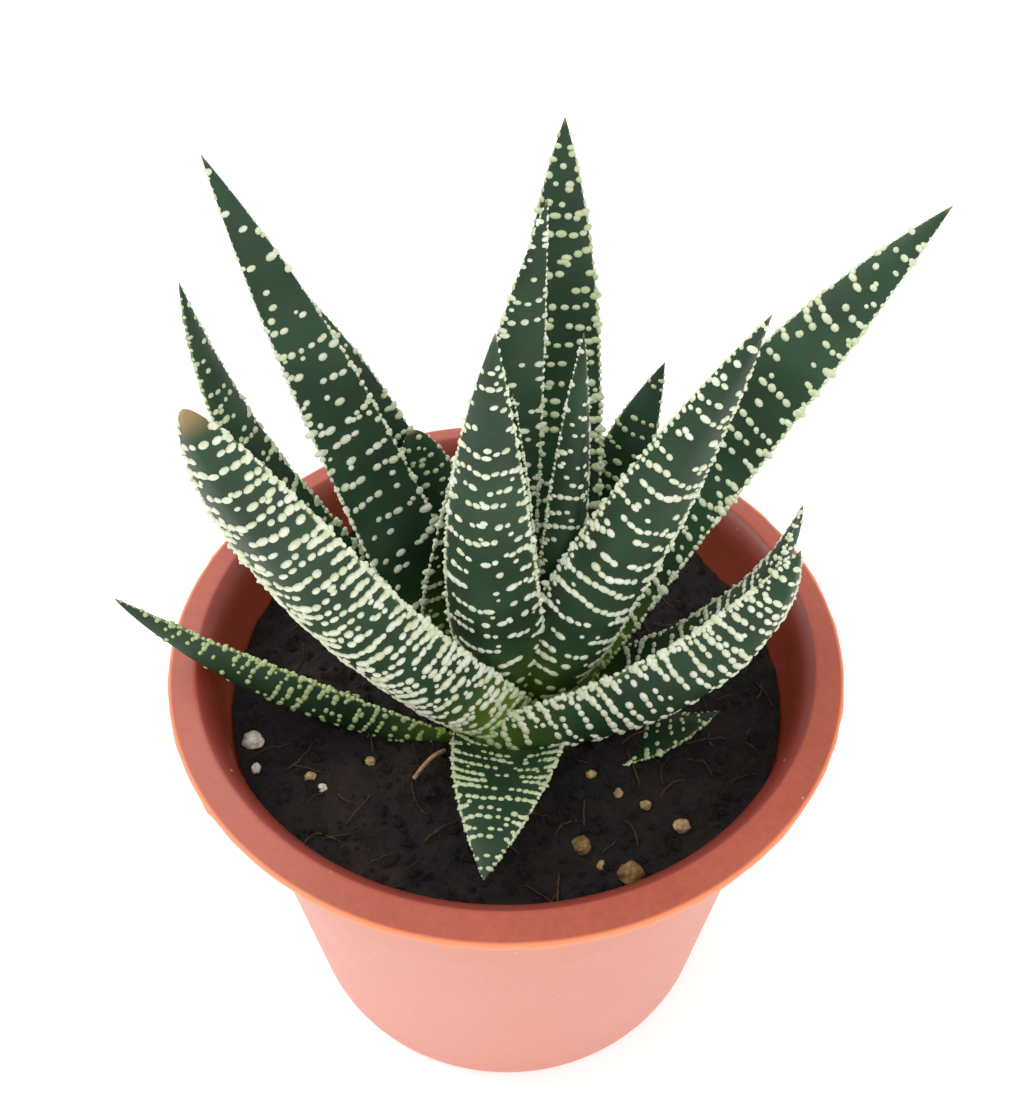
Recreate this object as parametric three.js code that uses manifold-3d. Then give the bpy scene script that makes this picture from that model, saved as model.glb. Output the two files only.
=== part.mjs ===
// Potted gasteraloe: a plastic nursery pot, potting mix, a short stem and a rosette of warty leaves.
// Millimetres, +Z up. The origin is the centre of the pot's underside.
import * as THREE from "three";
import { mergeVertices } from "three/addons/utils/BufferGeometryUtils.js";
import Module from "manifold-3d";

const wasm = await Module();
wasm.setup();

// ---- driving dimensions ----
const RIM_RADIUS = 52.5; // outer edge of the flange
const RIM_HEIGHT = 77.5; // top of the flange above the table
const FLANGE_WIDTH = 4.2;
const FLANGE_DROP = 1.1; // the outer edge lies this much lower than the inner one
const FLANGE_THICKNESS = 1.1;
const BASE_RADIUS = 38.3;
const WALL = 0.9;
const STEP_HEIGHT = 54; // stacking step, where the collar above is wider than the wall below
const WALL_TOP_RADIUS = 44.0; // outer radius just under the step
const COLLAR_BOTTOM_RADIUS = 44.9;
const COLLAR_TOP_RADIUS = 46.2;
const FLOOR_THICKNESS = 1.2;
const POT_SIDES = 60;

const DRAIN_HOLES = 8;
const DRAIN_HOLE_RADIUS = 3.2;
const DRAIN_CIRCLE_RADIUS = 27;

const SOIL_HEIGHT = 65.4; // mean level of the mix near the wall
const SOIL_MOUND = 1.0; // how much it rises around the stem
const ROOT_PIT_RADIUS = 11; // the hollow in the mix that the leaf bases stand in
const ROOT_PIT_DEPTH = 6;
const SOIL_RINGS = 7;
const SOIL_SIDES = 40;

const GAP = 0.3; // clear space between neighbouring pieces
const CROWN = new THREE.Vector2(0.5, -4); // where the plant stands in the pot
const STEM_BOTTOM = 40;
const STEM_TOP = 65;
const STEM_BOTTOM_RADIUS = 3.5;
const STEM_TOP_RADIUS = 6.5;

const LEAF_RINGS = 13;
const LEAF_SIDES = 12;
const LEAF_BASE_WIDTH = 0.85; // width where a leaf leaves the stem, as a share of its widest
const LEAF_CHANNEL = 0.35; // depth of the groove along the upper face, as a share of half the width
const LEAF_KEEL = 0.5; // how sharply the underside narrows to a keel towards the tip
const LEAF_EDGE = 0.9; // thickness of the blunt margins

// Leaves from the heart of the rosette outwards. root and tip are the ends of the midline, facing is
// the compass direction in degrees that the outer face looks to (0 along +X, 90 along +Y), bow lifts
// the middle towards the upper face, sway moves it along the leaf's width, belly places the bend.
const LEAVES = [
  { name: "leaf_heart_youngest", root: [3, -1, 73], tip: [1, -4, 128], facing: 60,
    width: 6, thick: 3, taper: 2.5 },
  { name: "leaf_heart_right", root: [7, 0, 72], tip: [10, 2, 133], facing: -60, bow: -1, sway: -0.5,
    width: 8, thick: 4, taper: 3 },
  { name: "leaf_heart_front", root: [0, -4, 72], tip: [-1, -12, 143], facing: 265, bow: -2, sway: -1.5,
    width: 14, thick: 5.5, taper: 2.6 },
  { name: "leaf_left_tall", root: [-6.5, -1.5, 68], tip: [-38, 16, 150], facing: 122, sway: -1,
    width: 12, thick: 5, taper: 3.2 },
  { name: "leaf_back_inner", root: [-6, 1, 71], tip: [5, 0, 153], facing: 100, bow: -2,
    width: 18, thick: 5, taper: 1.5 },
  { name: "leaf_right_inner", root: [5, -4, 70], tip: [32, -4, 140], facing: -95, bow: -2, sway: -1,
    width: 14, thick: 5.5, taper: 2.6 },
  { name: "leaf_back_tall", root: [7, 6, 68], tip: [8, 30, 148], facing: 90, bow: -3,
    width: 15, thick: 5.5, taper: 3.6 },
  { name: "leaf_front_left", root: [0, -8, 67], tip: [-35, -22, 140], facing: 270, bow: -3, sway: -3,
    width: 15.5, thick: 6, taper: 3.5, bluntness: 0.6 },
  { name: "leaf_right_tall", root: [9, 2, 67], tip: [57, 14, 144], facing: 50, bow: 2, sway: 2.5,
    width: 14, thick: 5.5, taper: 3.6 },
  { name: "leaf_left_inner", root: [-5, 4, 68], tip: [-29, 20, 128], facing: 125, sway: -1,
    width: 13, thick: 5, taper: 3 },
  { name: "leaf_back_left_short", root: [-6, 3, 68], tip: [-14, 14, 107], facing: 115, bow: -1, sway: -1,
    width: 12, thick: 4, taper: 4, bluntness: 0.6 },
  { name: "leaf_back_right_small", root: [7, 5, 66], tip: [24, 24, 112], facing: 60, bow: -2, sway: 1,
    width: 13, thick: 4.5, taper: 3 },
  { name: "leaf_right_low", root: [6, -3, 66], tip: [42, 0, 105], facing: 5, bow: -6, sway: -3,
    belly: 0.6, roll: -20, width: 13, thick: 5, taper: 2.8 },
  { name: "leaf_left_back", root: [-8, 2, 66], tip: [-42, 9, 136], facing: 155, bow: -8, sway: 2,
    width: 12, thick: 5, taper: 2.8 },
  { name: "leaf_front_right", root: [-4, -9, 67], tip: [40, -10, 106], facing: 280, bow: -4, sway: 7,
    belly: 0.62, width: 15, thick: 6.5, taper: 3.5 },
  { name: "leaf_left_low", root: [-6, -9, 66], tip: [-57, -6, 92], facing: 250, bow: -2, sway: -5,
    width: 12.5, thick: 5.5, taper: 2.8 },
  { name: "leaf_right_sunken", root: [7, -8, 63], tip: [33, -10.5, 71], facing: -30, bow: -1.5, sway: -2,
    width: 14, thick: 4, taper: 2.5 },
  { name: "leaf_front_short", root: [1, -11.5, 65.5], tip: [-3, -41, 73], facing: -90, bow: 2,
    width: 17.5, thick: 6, taper: 2 },
];

// Loose grit on the mix: place, half-axes and turn of each stone.
const GRIT = [
  { name: "grit_white_large", at: [-39.5, -13], size: [1.9, 1.6, 1.5], turn: 20, tone: "white" },
  { name: "grit_white_small", at: [-38.5, -17.5], size: [1.0, 0.8, 0.7], turn: 70, tone: "white" },
  { name: "grit_left_pale", at: [-30, -19], size: [1.0, 0.9, 0.8], turn: 10, tone: "tan" },
  { name: "grit_left_dot", at: [-28, -21], size: [0.9, 0.8, 0.7], turn: 50, tone: "white" },
  { name: "grit_centre_left", at: [-21, -16], size: [1.1, 0.7, 0.7], turn: 35, tone: "tan" },
  { name: "grit_centre_right", at: [13, -19], size: [0.9, 0.7, 0.7], turn: 15, tone: "tan" },
  { name: "grit_right_upper", at: [17, -22], size: [0.9, 0.8, 0.7], turn: 80, tone: "tan" },
  { name: "grit_right_middle", at: [21, -24], size: [1.1, 0.8, 0.7], turn: 40, tone: "tan" },
  { name: "grit_right_tan", at: [26, -28], size: [1.5, 1.2, 1.1], turn: 25, tone: "tan" },
  { name: "grit_front_brown", at: [11, -31], size: [1.8, 1.4, 1.2], turn: 60, tone: "brown" },
  { name: "grit_front_dot", at: [14, -34], size: [0.9, 0.8, 0.7], turn: 5, tone: "tan" },
  { name: "grit_rim_stone", at: [18, -36], size: [2.3, 1.8, 1.7], turn: 30, tone: "brown" },
];
const GRIT_SUNK = 0.35; // share of a stone's half-height that is under the surface

// A shrivelled leaf sheath lying at the foot of the rosette, its midline and thickness.
const HUSK_PATH = [[-9.5, -15.5, 67.6], [-11, -17, 68.4], [-12.6, -18.6, 67.9], [-14, -20.2, 66.9]];
const HUSK_HALF_WIDTH = 0.45;

// ---- materials ----
function finish(color, roughness) {
  return new THREE.MeshStandardMaterial({ color, roughness, metalness: 0 });
}
const POT_COLOR = 0xb9573f;
const SOIL_COLOR = 0x241a16;
const LEAF_COLOR = 0x2c4430;
const STEM_COLOR = 0x8a9a4a;
const HUSK_COLOR = 0xb08a5c;
const GRIT_COLORS = { white: 0xd9d2c4, tan: 0xb59a6d, brown: 0x7d6038 };

// ---- helpers ----
function smoothStep(low, high, value) {
  const t = Math.min(1, Math.max(0, (value - low) / (high - low)));
  return t * t * (3 - 2 * t);
}

// A three.js geometry as a manifold solid, in the object's frame.
function toSolid(geometry) {
  const bare = geometry.index ? geometry.toNonIndexed() : geometry.clone();
  bare.deleteAttribute("normal");
  bare.deleteAttribute("uv");
  const merged = mergeVertices(bare, 1e-4);
  const mesh = new wasm.Mesh({
    numProp: 3,
    vertProperties: new Float32Array(merged.attributes.position.array),
    triVerts: new Uint32Array(merged.index.array),
  });
  return new wasm.Manifold(mesh);
}

function toGeometry(solid) {
  const mesh = solid.getMesh();
  const geometry = new THREE.BufferGeometry();
  geometry.setAttribute("position", new THREE.BufferAttribute(mesh.vertProperties, 3));
  geometry.setIndex(new THREE.BufferAttribute(mesh.triVerts, 1));
  geometry.computeVertexNormals();
  return geometry;
}

// A cut can leave slivers beside the body: only the body is kept, as it stands once its corners are
// held as 32-bit numbers.
function largestBody(solid) {
  const bodies = toSolid(toGeometry(solid)).decompose();
  return bodies.reduce((best, next) => (next.volume() > best.volume() ? next : best));
}

// A closed surface through rings of points, flat at the first ring and pointed at the last.
function ringSolid(rings, point) {
  const sides = rings[0].length;
  const vertices = rings.flat();
  const startCentre = rings[0].reduce((sum, p) => sum.add(p), new THREE.Vector3()).divideScalar(sides);
  const startIndex = vertices.length;
  vertices.push(startCentre, point);
  const triangles = [];
  for (let side = 0; side < sides; side += 1) {
    const next = (side + 1) % sides;
    triangles.push(startIndex, next, side);
    for (let ring = 0; ring < rings.length - 1; ring += 1) {
      const lower = ring * sides;
      const upper = lower + sides;
      triangles.push(lower + side, lower + next, upper + next);
      triangles.push(lower + side, upper + next, upper + side);
    }
    const last = (rings.length - 1) * sides;
    triangles.push(last + side, last + next, startIndex + 1);
  }
  const geometry = new THREE.BufferGeometry();
  const positions = new Float32Array(vertices.flatMap((v) => [v.x, v.y, v.z]));
  geometry.setAttribute("position", new THREE.BufferAttribute(positions, 3));
  geometry.setIndex(triangles);
  return toSolid(geometry);
}

// ---- leaf ----
// Midline, width direction and upper-face direction of a leaf at share s of its length.
function leafFrame(leaf, s) {
  const root = new THREE.Vector3(...leaf.root);
  const tip = new THREE.Vector3(...leaf.tip);
  const angle = THREE.MathUtils.degToRad(leaf.facing);
  const across = new THREE.Vector3(-Math.sin(angle), Math.cos(angle), 0);
  const chord = tip.clone().sub(root);
  const along = chord.clone().normalize();
  const upper = along.clone().cross(across).normalize();
  const side = upper.clone().cross(along);
  const bend = root.clone().addScaledVector(chord, leaf.belly ?? 0.5);
  bend.addScaledVector(upper, 2 * (leaf.bow ?? 0)).addScaledVector(side, 2 * (leaf.sway ?? 0));

  const centre = root.clone().multiplyScalar((1 - s) ** 2);
  centre.addScaledVector(bend, 2 * s * (1 - s)).addScaledVector(tip, s * s);
  const tangent = bend.clone().sub(root).multiplyScalar(1 - s);
  tangent.addScaledVector(tip.clone().sub(bend), s).normalize();
  const face = tangent.clone().cross(across).normalize();
  const wide = face.clone().cross(tangent);
  const roll = THREE.MathUtils.degToRad(leaf.roll ?? 0);
  return {
    centre,
    wide: wide.clone().multiplyScalar(Math.cos(roll)).addScaledVector(face, Math.sin(roll)),
    face: face.clone().multiplyScalar(Math.cos(roll)).addScaledVector(wide, -Math.sin(roll)),
  };
}

// Cross-section at share s, x along the width and y towards the upper face: a grooved upper face,
// blunt margins and a keeled underside.
function leafOutline(leaf, s) {
  const outline = (LEAF_BASE_WIDTH + (1 - LEAF_BASE_WIDTH) * smoothStep(0, 0.18, s))
    * (1 - s ** leaf.taper) ** (leaf.bluntness ?? 1);
  const half = (leaf.width / 2) * outline;
  const depth = leaf.thick * outline ** 0.8;
  const groove = LEAF_CHANNEL * half * (1 - smoothStep(0.15, 0.85, s)) - 0.1 * half * smoothStep(0.5, 1, s);
  const edge = Math.min(LEAF_EDGE, 0.35 * half + 0.02);
  const keel = 2 - LEAF_KEEL * smoothStep(0.2, 0.8, s);
  const points = [];
  for (let side = 0; side < LEAF_SIDES; side += 1) {
    const turn = (2 * Math.PI * side) / LEAF_SIDES;
    const x = Math.cos(turn);
    const rounding = (edge / 2) * Math.sin(turn);
    const under = side > LEAF_SIDES / 2;
    const sunk = under ? (depth - edge) * (1 - Math.abs(x) ** keel) : groove * (1 - x * x);
    const height = rounding - sunk;
    points.push(new THREE.Vector2(x * half, height));
  }
  return points;
}

// The outline moved outwards, for the room that a neighbour leaves around this leaf.
function grownOutline(points, grow) {
  return points.map((point, index) => {
    const next = points[(index + 1) % points.length];
    const previous = points[(index + points.length - 1) % points.length];
    const along = next.clone().sub(previous).normalize();
    return point.clone().add(new THREE.Vector2(along.y, -along.x).multiplyScalar(grow));
  });
}

function leafRing(leaf, s, grow) {
  const { centre, wide, face } = leafFrame(leaf, s);
  return grownOutline(leafOutline(leaf, s), grow).map(
    (point) => centre.clone().addScaledVector(wide, point.x).addScaledVector(face, point.y),
  );
}

function leafSolid(leaf, grow = 0) {
  const rings = [];
  if (grow > 0) {
    const back = leafFrame(leaf, 0).centre.sub(leafFrame(leaf, 0.02).centre).setLength(grow);
    rings.push(leafRing(leaf, 0, grow).map((point) => point.add(back)));
  }
  for (let step = 0; step < LEAF_RINGS; step += 1) {
    rings.push(leafRing(leaf, 1 - (1 - step / LEAF_RINGS) ** 1.25, grow));
  }
  const ahead = new THREE.Vector3(...leaf.tip).sub(leafFrame(leaf, 0.97).centre).normalize();
  const point = new THREE.Vector3(...leaf.tip).addScaledVector(ahead, grow);
  return ringSolid(rings, point);
}

// The space that neighbours leave free for a leaf.
function leafRoom(leaf) {
  return leafSolid(leaf, GAP).add(leafSolid(leaf));
}

// ---- pot ----
function potSolid() {
  const flangeInner = RIM_RADIUS - FLANGE_WIDTH;
  const profile = [
    [0, 0], [BASE_RADIUS - 2, 0], [BASE_RADIUS - 0.6, 0.5], [BASE_RADIUS, 1.9],
    [WALL_TOP_RADIUS, STEP_HEIGHT], [COLLAR_BOTTOM_RADIUS, STEP_HEIGHT + 1],
    [COLLAR_TOP_RADIUS, RIM_HEIGHT - 4.5], [COLLAR_TOP_RADIUS + 0.7, RIM_HEIGHT - 2.5],
    [flangeInner + 0.3, RIM_HEIGHT - FLANGE_THICKNESS - 0.3],
    [RIM_RADIUS - 0.3, RIM_HEIGHT - FLANGE_DROP - FLANGE_THICKNESS],
    [RIM_RADIUS, RIM_HEIGHT - FLANGE_DROP - 0.5], [RIM_RADIUS - 0.2, RIM_HEIGHT - FLANGE_DROP],
    [flangeInner, RIM_HEIGHT], [flangeInner - 1, RIM_HEIGHT - 0.3],
    [COLLAR_TOP_RADIUS + 0.1, RIM_HEIGHT - 1.5], [COLLAR_TOP_RADIUS - WALL + 0.3, RIM_HEIGHT - 3.2],
    [COLLAR_TOP_RADIUS - WALL, RIM_HEIGHT - 5], [COLLAR_BOTTOM_RADIUS - WALL, STEP_HEIGHT + 1.6],
    [WALL_TOP_RADIUS - WALL, STEP_HEIGHT + 0.4], [BASE_RADIUS - WALL, 2.6],
    [BASE_RADIUS - 1.4, FLOOR_THICKNESS + 0.3], [BASE_RADIUS - 2.4, FLOOR_THICKNESS], [0, FLOOR_THICKNESS],
  ].map(([radius, height]) => new THREE.Vector2(radius, height));
  let pot = toSolid(latheAboutZ(profile, POT_SIDES));
  for (let hole = 0; hole < DRAIN_HOLES; hole += 1) {
    const angle = (2 * Math.PI * (hole + 0.5)) / DRAIN_HOLES;
    const drill = new THREE.CylinderGeometry(DRAIN_HOLE_RADIUS, DRAIN_HOLE_RADIUS, 8, 16);
    drill.rotateX(Math.PI / 2);
    drill.translate(DRAIN_CIRCLE_RADIUS * Math.cos(angle), DRAIN_CIRCLE_RADIUS * Math.sin(angle), 0.5);
    pot = pot.subtract(toSolid(drill));
  }
  return pot;
}

// LatheGeometry turns about +Y, so the result is stood up along +Z.
function latheAboutZ(profile, sides) {
  const geometry = new THREE.LatheGeometry(profile, sides);
  geometry.rotateX(Math.PI / 2);
  return geometry;
}

// ---- potting mix ----
function soilTop(x, y) {
  const fromCrown = Math.hypot(x - CROWN.x, y - CROWN.y);
  return SOIL_HEIGHT + SOIL_MOUND * Math.exp(-((fromCrown / 15) ** 2))
    + 0.5 * Math.sin(0.21 * x + 1.3) * Math.cos(0.19 * y - 0.4)
    + 0.3 * Math.sin(0.43 * x - 0.31 * y + 2);
}

function innerRadius(height) {
  const low = BASE_RADIUS - WALL;
  const atStep = WALL_TOP_RADIUS - WALL;
  if (height <= STEP_HEIGHT) {
    return low + ((atStep - low) * (height - 2.6)) / (STEP_HEIGHT - 2.6);
  }
  const collarLow = COLLAR_BOTTOM_RADIUS - WALL;
  const collarHigh = COLLAR_TOP_RADIUS - WALL;
  const share = (height - STEP_HEIGHT - 1.6) / (RIM_HEIGHT - 6.6 - STEP_HEIGHT);
  return collarLow + (collarHigh - collarLow) * share;
}

function soilSolid() {
  const wallSteps = [SOIL_HEIGHT - 0.5, STEP_HEIGHT + 2, STEP_HEIGHT - 0.4, 3.5, FLOOR_THICKNESS + GAP + 0.4];
  const rings = [];
  for (let ring = 1; ring <= SOIL_RINGS; ring += 1) {
    const share = ring / SOIL_RINGS;
    rings.push(circle(share * (innerRadius(SOIL_HEIGHT) - 1.6 * GAP), soilTop));
  }
  for (const height of wallSteps) {
    const radius = innerRadius(Math.max(height, 2.6)) - 1.6 * GAP - (height < 3 ? 1.6 : 0);
    rings.push(circle(radius, () => height));
  }
  rings.push(circle(BASE_RADIUS - 3.6, () => FLOOR_THICKNESS + GAP));
  // ringSolid starts flat and ends in a point, so the rings run from the underside up to the middle.
  rings.reverse();
  return ringSolid(rings, new THREE.Vector3(0, 0, soilTop(0, 0)));
}

function circle(radius, heightAt) {
  const points = [];
  for (let side = 0; side < SOIL_SIDES; side += 1) {
    const angle = (2 * Math.PI * side) / SOIL_SIDES;
    const x = radius * Math.cos(angle);
    const y = radius * Math.sin(angle);
    points.push(new THREE.Vector3(x, y, heightAt(x, y)));
  }
  return points;
}

function rootPitSolid() {
  const low = SOIL_HEIGHT - ROOT_PIT_DEPTH;
  const high = SOIL_HEIGHT + 4;
  const profile = [[0, low], [ROOT_PIT_RADIUS - 2, low], [ROOT_PIT_RADIUS + 1, high], [0, high]].map(
    ([radius, height]) => new THREE.Vector2(radius, height),
  );
  const geometry = latheAboutZ(profile, 24);
  geometry.translate(CROWN.x, CROWN.y - 1, 0);
  return toSolid(geometry);
}

// ---- stem, grit and husk ----
function stemSolid(grow = 0) {
  const profile = [
    [0, STEM_BOTTOM - grow], [STEM_BOTTOM_RADIUS + grow, STEM_BOTTOM - grow],
    [STEM_TOP_RADIUS + grow, STEM_TOP - 2], [STEM_TOP_RADIUS - 2 + grow, STEM_TOP + grow],
    [0, STEM_TOP + grow],
  ].map(([radius, height]) => new THREE.Vector2(radius, height));
  const geometry = latheAboutZ(profile, 20);
  geometry.translate(CROWN.x, CROWN.y, 0);
  return toSolid(geometry);
}

function gritSolid(stone, grow = 0) {
  const [x, y] = stone.at;
  const halfHeight = stone.size[2];
  const geometry = new THREE.IcosahedronGeometry(1, 1);
  geometry.scale(...stone.size.map((half) => half + grow));
  geometry.rotateZ(THREE.MathUtils.degToRad(stone.turn));
  geometry.translate(x, y, soilTop(x, y) + halfHeight * (1 - GRIT_SUNK) - 0.2);
  return toSolid(geometry);
}

function huskSolid(grow = 0) {
  const half = HUSK_HALF_WIDTH + grow;
  const section = new THREE.Shape();
  section.absellipse(0, 0, half, half * 0.6, 0, 2 * Math.PI);
  const path = new THREE.CatmullRomCurve3(HUSK_PATH.map((p) => new THREE.Vector3(...p)));
  return toSolid(new THREE.ExtrudeGeometry(section, { extrudePath: path, steps: 8, curveSegments: 4 }));
}

// ---- assembly ----
const plant = new THREE.Group();

function addPiece(name, solid, material) {
  const mesh = new THREE.Mesh(toGeometry(solid), material);
  mesh.name = name;
  plant.add(mesh);
}

// Each leaf is cut back by the leaves that it wraps around, which are nearer the heart.
const rooms = [];
for (const leaf of LEAVES) {
  const solid = rooms.reduce((rest, room) => rest.subtract(room), leafSolid(leaf));
  addPiece(leaf.name, largestBody(solid), finish(LEAF_COLOR, 0.5));
  rooms.push(leafRoom(leaf));
}
const rosetteRoom = rooms.reduce((all, room) => all.add(room));

addPiece("stem", largestBody(stemSolid().subtract(rosetteRoom)), finish(STEM_COLOR, 0.6));
addPiece("dry_husk", largestBody(huskSolid().subtract(rosetteRoom)), finish(HUSK_COLOR, 0.8));

const plantRoom = rosetteRoom.add(stemSolid(GAP)).add(huskSolid(GAP)).add(rootPitSolid());
let soil = soilSolid().subtract(plantRoom);
for (const stone of GRIT) {
  soil = soil.subtract(gritSolid(stone, GAP));
  addPiece(stone.name, gritSolid(stone), finish(GRIT_COLORS[stone.tone], 0.85));
}
addPiece("potting_mix", largestBody(soil), finish(SOIL_COLOR, 0.95));
addPiece("pot", potSolid(), finish(POT_COLOR, 0.45));

export default plant;
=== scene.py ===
import math
import random

import bpy
import numpy as np
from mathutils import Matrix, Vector, noise


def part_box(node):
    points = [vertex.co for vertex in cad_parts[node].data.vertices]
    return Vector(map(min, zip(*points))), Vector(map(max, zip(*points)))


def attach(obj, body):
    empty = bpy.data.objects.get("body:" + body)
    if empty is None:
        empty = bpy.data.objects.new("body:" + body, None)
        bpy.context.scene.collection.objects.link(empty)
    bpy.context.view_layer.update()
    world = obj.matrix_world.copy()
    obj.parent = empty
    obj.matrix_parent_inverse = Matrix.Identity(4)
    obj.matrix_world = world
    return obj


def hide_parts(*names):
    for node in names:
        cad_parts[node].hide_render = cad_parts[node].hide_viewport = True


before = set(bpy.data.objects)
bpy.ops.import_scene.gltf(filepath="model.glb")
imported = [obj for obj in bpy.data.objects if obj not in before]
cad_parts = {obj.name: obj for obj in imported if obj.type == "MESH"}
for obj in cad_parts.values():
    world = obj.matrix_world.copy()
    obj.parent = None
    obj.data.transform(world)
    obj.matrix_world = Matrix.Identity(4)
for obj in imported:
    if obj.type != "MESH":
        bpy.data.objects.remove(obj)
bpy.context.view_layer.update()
mm = 0.001

# ---- camera, light, floor ----
stage = {
    "cameraAt": (0.9 * mm, -129.0 * mm, 226.05 * mm),
    "cameraDown": 45.63,  # degrees that the camera looks down
    "focalInHeights": 1.1200717,  # focal length as a share of the picture's height
    "worldStrength": 0.95,
    "windowPower": 3.2,
    "fillPower": 0.9,
    "floorSize": 6.0,
}


def makeCamera():
    data = bpy.data.cameras.new("camera")
    data.sensor_fit = "VERTICAL"
    data.sensor_height = 24.0
    data.lens = data.sensor_height * stage["focalInHeights"]
    data.clip_start = 0.01
    camera = bpy.data.objects.new("camera", data)
    camera.location = stage["cameraAt"]
    camera.rotation_euler = (math.radians(90 - stage["cameraDown"]), 0, 0)
    bpy.context.scene.collection.objects.link(camera)
    bpy.context.scene.camera = camera


def makeAreaLight(name, at, size, power):
    data = bpy.data.lights.new(name, "AREA")
    data.size = size
    data.energy = power
    light = bpy.data.objects.new(name, data)
    light.location = at
    aim = Vector((0, 0, 0.08)) - Vector(at)
    light.rotation_euler = aim.to_track_quat("-Z", "Y").to_euler()
    bpy.context.scene.collection.objects.link(light)


def makeFloor():
    half = stage["floorSize"] / 2
    mesh = bpy.data.meshes.new("floor")
    corners = [(-half, -half, 0), (half, -half, 0), (half, half, 0), (-half, half, 0)]
    mesh.from_pydata(corners, [], [(0, 1, 2, 3)])
    floor = bpy.data.objects.new("floor", mesh)
    bpy.context.scene.collection.objects.link(floor)
    material = bpy.data.materials.new("paleFloor")
    material.use_nodes = True
    tree = material.node_tree
    shader = tree.nodes["Principled BSDF"]
    shader.inputs["Roughness"].default_value = 0.9
    shader.inputs["Base Color"].default_value = (0.9, 0.9, 0.9, 1)
    # the floor glows a little, so that it stays white around the soft shadow
    shader.inputs["Emission Color"].default_value = (1, 1, 1, 1)
    shader.inputs["Emission Strength"].default_value = 0.35
    mesh.materials.append(material)


def makeWorld():
    world = bpy.data.worlds.new("paleRoom")
    bpy.context.scene.world = world
    world.use_nodes = True
    background = world.node_tree.nodes["Background"]
    background.inputs["Color"].default_value = (1, 1, 1, 1)
    background.inputs["Strength"].default_value = stage["worldStrength"]


makeCamera()
makeWorld()
makeFloor()
makeAreaLight("window", (-0.5, 0.25, 0.75), 0.6, stage["windowPower"])
makeAreaLight("frontFill", (0.35, -0.6, 0.7), 0.7, stage["fillPower"])
bpy.context.scene.view_settings.view_transform = "Standard"
bpy.context.scene.view_settings.look = "None"
print("stage ready")


# ---- node helpers ----
def rgb(hexText):
    values = [int(hexText[i:i + 2], 16) / 255 for i in (0, 2, 4)]
    linear = [v / 12.92 if v <= 0.04045 else ((v + 0.055) / 1.055) ** 2.4 for v in values]
    return (*linear, 1.0)


def addNode(tree, kind, inputs=None, **settings):
    node = tree.nodes.new(kind)
    for key, value in settings.items():
        setattr(node, key, value)
    for key, value in (inputs or {}).items():
        if isinstance(value, bpy.types.NodeSocket):
            tree.links.new(value, node.inputs[key])
        else:
            node.inputs[key].default_value = value
    return node


def noiseFactor(tree, coords, scale, detail=3.0, roughness=0.55):
    node = addNode(tree, "ShaderNodeTexNoise", {"Vector": coords, "Scale": scale,
                                                "Detail": detail, "Roughness": roughness})
    return node.outputs["Fac"]


def spread(tree, value, low, high, toLow=0.0, toHigh=1.0):
    node = addNode(tree, "ShaderNodeMapRange", {0: value, 1: low, 2: high, 3: toLow, 4: toHigh})
    return node.outputs[0]


def mixColor(tree, factor, first, second):
    node = addNode(tree, "ShaderNodeMix", data_type="RGBA")
    for index, value in ((0, factor), (6, first), (7, second)):
        if isinstance(value, bpy.types.NodeSocket):
            tree.links.new(value, node.inputs[index])
        else:
            node.inputs[index].default_value = value
    return node.outputs[2]


def attribute(tree, name):
    return addNode(tree, "ShaderNodeAttribute", attribute_name=name).outputs["Fac"]


def newMaterial(name):
    material = bpy.data.materials.new(name)
    material.use_nodes = True
    tree = material.node_tree
    coords = addNode(tree, "ShaderNodeTexCoord").outputs["Object"]
    return material, tree, tree.nodes["Principled BSDF"], coords


def setBump(tree, shader, height, strength, distance):
    bump = addNode(tree, "ShaderNodeBump", {"Height": height, "Strength": strength, "Distance": distance})
    tree.links.new(bump.outputs["Normal"], shader.inputs["Normal"])


def makeGrainGroup():
    # fine two-scale grain for any surface: a 0..1 mask from object coordinates
    group = bpy.data.node_groups.new("fineGrain", "ShaderNodeTree")
    group.interface.new_socket("Coordinates", in_out="INPUT", socket_type="NodeSocketVector")
    group.interface.new_socket("Coarse", in_out="INPUT", socket_type="NodeSocketFloat")
    group.interface.new_socket("Fine", in_out="INPUT", socket_type="NodeSocketFloat")
    group.interface.new_socket("Grain", in_out="OUTPUT", socket_type="NodeSocketFloat")
    start = group.nodes.new("NodeGroupInput")
    end = group.nodes.new("NodeGroupOutput")
    coarse = noiseFactor(group, start.outputs["Coordinates"], start.outputs["Coarse"])
    fine = noiseFactor(group, start.outputs["Coordinates"], start.outputs["Fine"], 2.0)
    both = addNode(group, "ShaderNodeMath", {0: coarse, 1: fine}, operation="ADD")
    half = addNode(group, "ShaderNodeMath", {0: both.outputs[0], 1: 0.5}, operation="MULTIPLY")
    group.links.new(half.outputs[0], end.inputs["Grain"])
    return group


grainGroup = makeGrainGroup()


def grain(tree, coords, coarse, fine):
    node = addNode(tree, "ShaderNodeGroup", node_tree=grainGroup)
    tree.links.new(coords, node.inputs["Coordinates"])
    node.inputs["Coarse"].default_value = coarse
    node.inputs["Fine"].default_value = fine
    return node.outputs["Grain"]


# ---- materials ----
leafLook = {
    "deep": "0c2612", "green": "1a3f20", "grey": "34523a", "yellowGreen": "6b8c1e", "dryTip": "a08558",
    "pale": "9fb873",
}


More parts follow.
